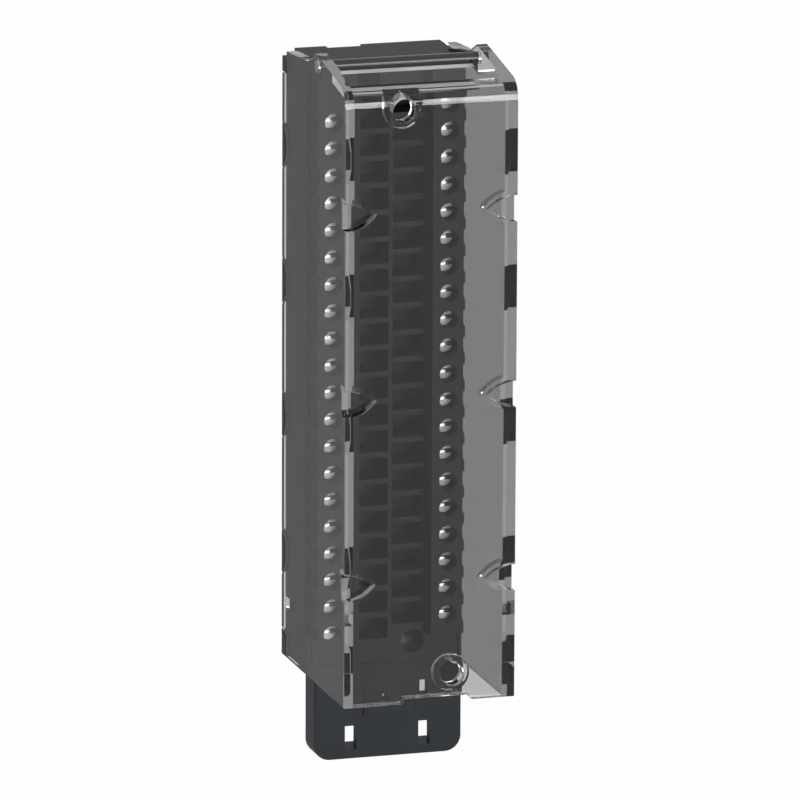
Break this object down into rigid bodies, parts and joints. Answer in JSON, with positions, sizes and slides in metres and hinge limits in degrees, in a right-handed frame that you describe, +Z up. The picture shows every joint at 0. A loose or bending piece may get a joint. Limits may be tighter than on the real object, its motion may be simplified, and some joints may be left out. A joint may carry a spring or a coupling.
{
  "type": "removable terminal block",
  "caption": "Tall narrow removable terminal block: two staggered rows of screw clamps under a clear hinged cover, with captive fixing screws and a cable tie foot.",
  "frame": {"origin": "on the rear mating face, on the centre plane, level with the middle of the cover's front", "axes": "+Z up along the rows, -Y out of the front, +X to the right seen from the front"},
  "size_m": [0.032, 0.044, 0.1332],
  "materials": {
    "moulded_black": "fine moulded texture, dark grey",
    "clear_cover": "clear, polished moulding",
    "plated_steel": "bright zinc plate",
    "spring_steel": "bare spring steel",
    "contact_metal": "tin plated copper alloy"
  },
  "bodies": {
    "block": {"terminal_housing": "moulded_black", "rear_housing": "moulded_black", "hinge_end_cap": "moulded_black", "cable_tie_foot": "moulded_black", "hinge_pin": "moulded_black", "clamp_screws_right": "plated_steel", "clamp_screws_left": "plated_steel", "clamp_cages_right": "plated_steel", "clamp_cages_left": "plated_steel", "contacts_right": "contact_metal", "contacts_left": "contact_metal", "contact_springs_right": "spring_steel", "contact_springs_left": "spring_steel"},
    "cover": {"protective_cover": "clear_cover"},
    "top_ring": {"retaining_ring_top": "plated_steel"},
    "top_screw": {"fixing_screw_top": "plated_steel"},
    "bottom_ring": {"retaining_ring_bottom": "plated_steel"},
    "bottom_screw": {"fixing_screw_bottom": "plated_steel"}
  },
  "joints": [
    {"name": "cover_hinge", "type": "hinge", "parent": "block", "child": "cover", "pos_m": [0, -0.022, 0.05915], "axis": [-1, 0, 0], "range_deg": [0, 110]},
    {"name": "top_screw_travel", "type": "slide", "parent": "block", "child": "top_ring", "axis": [0, 1, 0], "range_m": [-0.0054, 0]},
    {"name": "top_screw_turn", "type": "hinge", "parent": "top_ring", "child": "top_screw", "pos_m": [-0.0051, 0, 0.05405], "axis": [0, 1, 0], "continuous": true},
    {"name": "bottom_screw_travel", "type": "slide", "parent": "block", "child": "bottom_ring", "axis": [0, 1, 0], "range_m": [-0.0054, 0]},
    {"name": "bottom_screw_turn", "type": "hinge", "parent": "bottom_ring", "child": "bottom_screw", "pos_m": [0.00445, 0, -0.05003], "axis": [0, 1, 0], "continuous": true}
  ]
}
